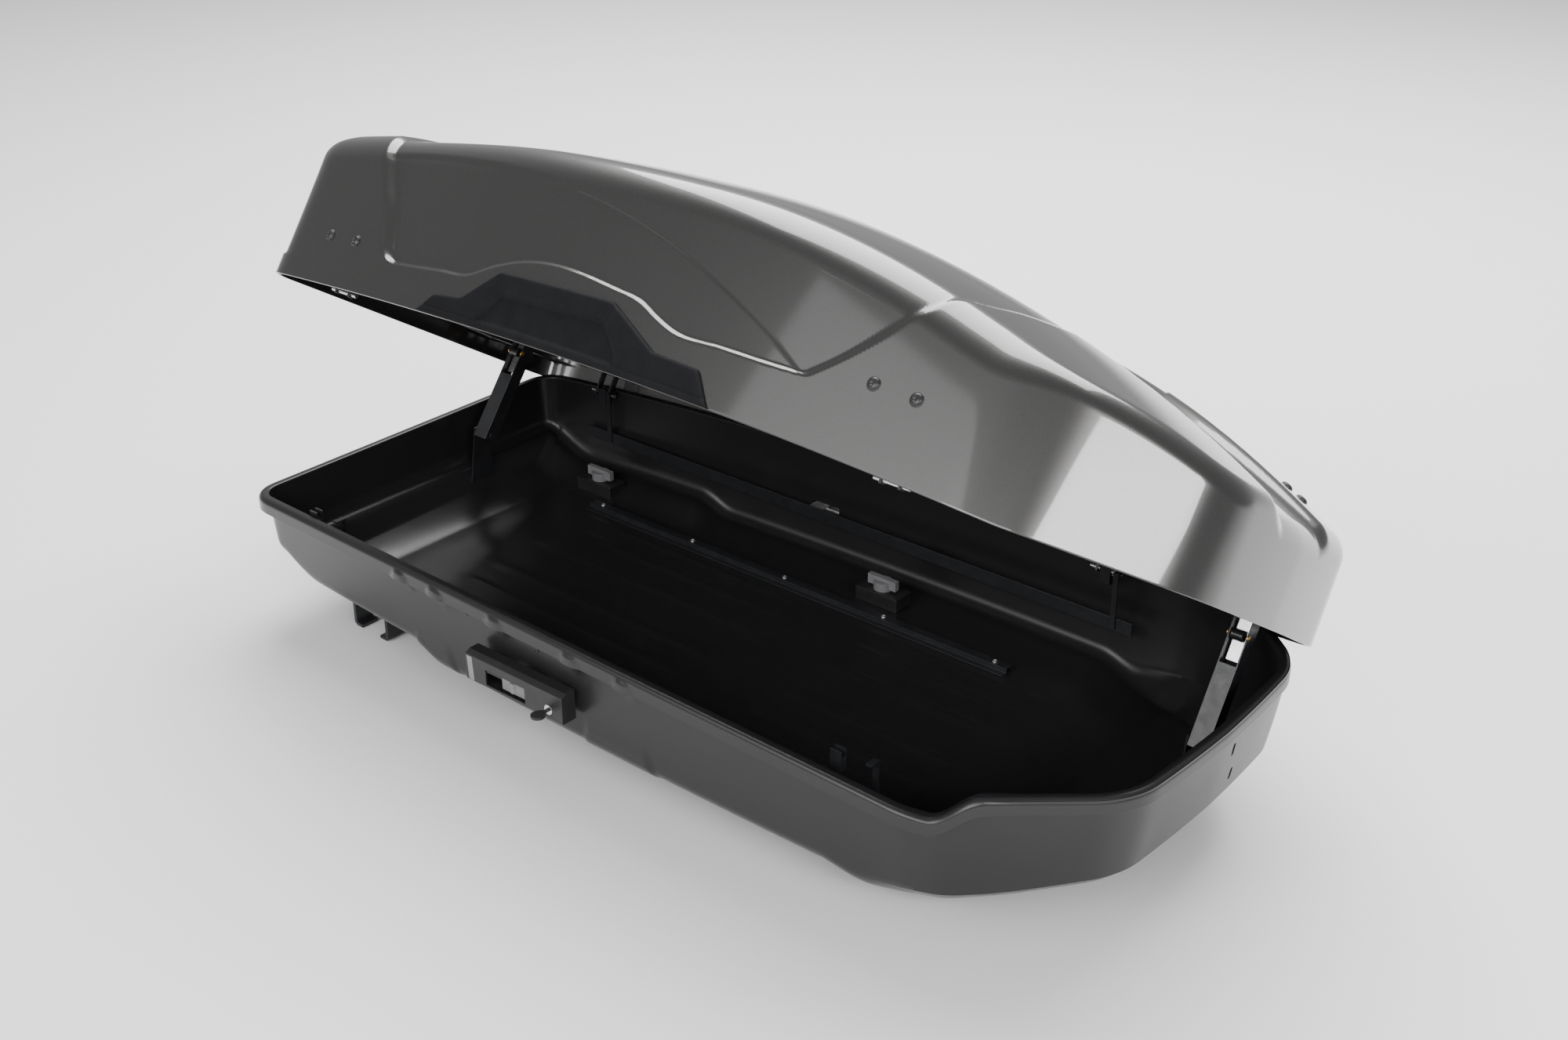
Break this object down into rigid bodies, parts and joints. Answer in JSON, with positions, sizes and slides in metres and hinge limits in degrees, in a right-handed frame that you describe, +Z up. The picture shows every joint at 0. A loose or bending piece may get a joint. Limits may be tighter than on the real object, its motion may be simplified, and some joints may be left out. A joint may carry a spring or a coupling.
{
  "type": "roof cargo box",
  "caption": "Aerodynamic roof cargo box with a hinged lid, spring lifters, side locks and roof-bar clamps under its floor.",
  "frame": {"origin": "on the flat underside of the middle seat of the base floor, at the middle of the box's width; z = 0 is the plane in which all the seats lie on the roof bars", "axes": "+X towards the nose, +Y towards the hinged far side, +Z up"},
  "size_m": [1.7547, 0.9993, 0.8932],
  "materials": {
    "lid_grey": "glossy metallic grey",
    "shell_black": "satin moulded black",
    "trim_black": "fine textured black",
    "lock_black": "moulded black",
    "steel_black": "black coated steel",
    "steel_bright": "zinc plated steel",
    "handle_grey": "moulded grey",
    "key_black": "moulded black",
    "chrome": "polished"
  },
  "bodies": {
    "base": {"base_shell": "shell_black", "near_floor_rail": "steel_black", "far_floor_rail": "steel_black", "near_lock_housing": "lock_black", "near_rear_pivot_cup": "steel_black", "near_front_pivot_cup": "steel_black", "far_lock_housing": "lock_black", "far_rear_pivot_cup": "steel_black", "far_front_pivot_cup": "steel_black", "front_lifter_spring": "steel_bright", "front_lifter_base_bracket": "steel_black", "rear_lifter_spring": "steel_bright", "rear_lifter_base_bracket": "steel_black", "near_rear_clamp_body": "lock_black", "far_rear_clamp_body": "lock_black", "near_front_clamp_body": "lock_black", "far_front_clamp_body": "lock_black"},
    "lid": {"lid_shell": "lid_grey", "near_side_trim": "trim_black", "far_side_trim": "trim_black", "near_rear_lid_pivot": "steel_black", "near_rear_hinge_pin": "steel_bright", "near_front_lid_pivot": "steel_black", "near_front_hinge_pin": "steel_bright", "far_rear_lid_pivot": "steel_black", "far_rear_hinge_pin": "steel_bright", "far_front_lid_pivot": "steel_black", "far_front_hinge_pin": "steel_bright", "front_lifter_lid_bracket": "steel_black", "rear_lifter_lid_bracket": "steel_black"},
    "near_latch": {"near_latch_bar": "steel_black", "near_rear_latch_hook": "steel_black", "near_front_latch_hook": "steel_black", "near_lock_slider": "handle_grey"},
    "far_latch": {"far_latch_bar": "steel_black", "far_rear_latch_hook": "steel_black", "far_front_latch_hook": "steel_black", "far_lock_slider": "handle_grey"},
    "near_key_barrel": {"near_lock_cylinder": "chrome", "key": "key_black"},
    "far_key_barrel": {"far_lock_cylinder": "chrome"},
    "front_arm": {"front_lifter_arm": "steel_black"},
    "front_slider": {"front_lifter_slider": "steel_bright"},
    "rear_arm": {"rear_lifter_arm": "steel_black"},
    "rear_slider": {"rear_lifter_slider": "steel_bright"},
    "near_rear_knob": {"near_rear_clamp_knob": "handle_grey"},
    "near_rear_claw": {"near_rear_clamp_claw": "steel_black"},
    "far_rear_knob": {"far_rear_clamp_knob": "handle_grey"},
    "far_rear_claw": {"far_rear_clamp_claw": "steel_black"},
    "near_front_knob": {"near_front_clamp_knob": "handle_grey"},
    "near_front_claw": {"near_front_clamp_claw": "steel_black"},
    "far_front_knob": {"far_front_clamp_knob": "handle_grey"},
    "far_front_claw": {"far_front_clamp_claw": "steel_black"}
  },
  "joints": [
    {"name": "lid_hinge", "type": "hinge", "parent": "base", "child": "lid", "pos_m": [0, 0.347, 0.18], "axis": [-1, 0, 0], "range_deg": [-32.5, 0], "stiffness_Nm_per_rad": 38, "springref_deg": 60.16},
    {"name": "front_arm_hinge", "type": "hinge", "parent": "base", "child": "front_arm", "pos_m": [0.765, 0.12, 0.095], "axis": [-1, 0, 0], "range_deg": [-11.45, 0]},
    {"name": "front_slider_slide", "type": "slide", "parent": "front_arm", "child": "front_slider", "axis": [0, 0.5341, 0.8454], "range_m": [-0.09414, 0]},
    {"name": "rear_arm_hinge", "type": "hinge", "parent": "base", "child": "rear_arm", "pos_m": [-0.776, 0.12, 0.145], "axis": [-1, 0, 0], "range_deg": [-15.76, 0]},
    {"name": "rear_slider_slide", "type": "slide", "parent": "rear_arm", "child": "rear_slider", "axis": [0, 0.6027, 0.798], "range_m": [-0.10265, 0]},
    {"name": "near_latch_slide", "type": "slide", "parent": "base", "child": "near_latch", "axis": [1, 0, 0], "range_m": [-0.03, 0]},
    {"name": "far_latch_slide", "type": "slide", "parent": "base", "child": "far_latch", "axis": [1, 0, 0], "range_m": [0, 0.03]},
    {"name": "near_key_turn", "type": "hinge", "parent": "base", "child": "near_key_barrel", "pos_m": [-0.052, -0.417, 0.08], "axis": [0, -1, 0], "range_deg": [0, 90]},
    {"name": "far_key_turn", "type": "hinge", "parent": "base", "child": "far_key_barrel", "pos_m": [-0.052, 0.417, 0.08], "axis": [0, 1, 0], "range_deg": [0, 90]},
    {"name": "near_rear_knob_turn", "type": "hinge", "parent": "base", "child": "near_rear_knob", "pos_m": [-0.635, -0.28, 0.034], "axis": [0, 0, 1], "range_deg": [0, 720]},
    {"name": "near_rear_claw_swing", "type": "hinge", "parent": "base", "child": "near_rear_claw", "pos_m": [-0.676, -0.28, -0.006], "axis": [0, 1, 0], "range_deg": [0, 24.2]},
    {"name": "far_rear_knob_turn", "type": "hinge", "parent": "base", "child": "far_rear_knob", "pos_m": [-0.635, 0.28, 0.034], "axis": [0, 0, 1], "range_deg": [0, 720]},
    {"name": "far_rear_claw_swing", "type": "hinge", "parent": "base", "child": "far_rear_claw", "pos_m": [-0.676, 0.28, -0.006], "axis": [0, 1, 0], "range_deg": [0, 24.2]},
    {"name": "near_front_knob_turn", "type": "hinge", "parent": "base", "child": "near_front_knob", "pos_m": [0.055, -0.28, 0.034], "axis": [0, 0, 1], "range_deg": [0, 720]},
    {"name": "near_front_claw_swing", "type": "hinge", "parent": "base", "child": "near_front_claw", "pos_m": [0.014, -0.28, -0.006], "axis": [0, 1, 0], "range_deg": [0, 24.2]},
    {"name": "far_front_knob_turn", "type": "hinge", "parent": "base", "child": "far_front_knob", "pos_m": [0.055, 0.28, 0.034], "axis": [0, 0, 1], "range_deg": [0, 720]},
    {"name": "far_front_claw_swing", "type": "hinge", "parent": "base", "child": "far_front_claw", "pos_m": [0.014, 0.28, -0.006], "axis": [0, 1, 0], "range_deg": [0, 24.2]}
  ],
  "couplings": [
    {"joint": "front_arm_hinge", "follows": "lid_hinge", "ratio": 0.35157},
    {"joint": "front_slider_slide", "follows": "lid_hinge", "m_per_rad": 0.1656},
    {"joint": "rear_arm_hinge", "follows": "lid_hinge", "ratio": 0.48439},
    {"joint": "rear_slider_slide", "follows": "lid_hinge", "m_per_rad": 0.18061},
    {"joint": "near_rear_claw_swing", "follows": "near_rear_knob_turn", "ratio": 0.033333},
    {"joint": "far_rear_claw_swing", "follows": "far_rear_knob_turn", "ratio": 0.033333},
    {"joint": "near_front_claw_swing", "follows": "near_front_knob_turn", "ratio": 0.033333},
    {"joint": "far_front_claw_swing", "follows": "far_front_knob_turn", "ratio": 0.033333}
  ]
}
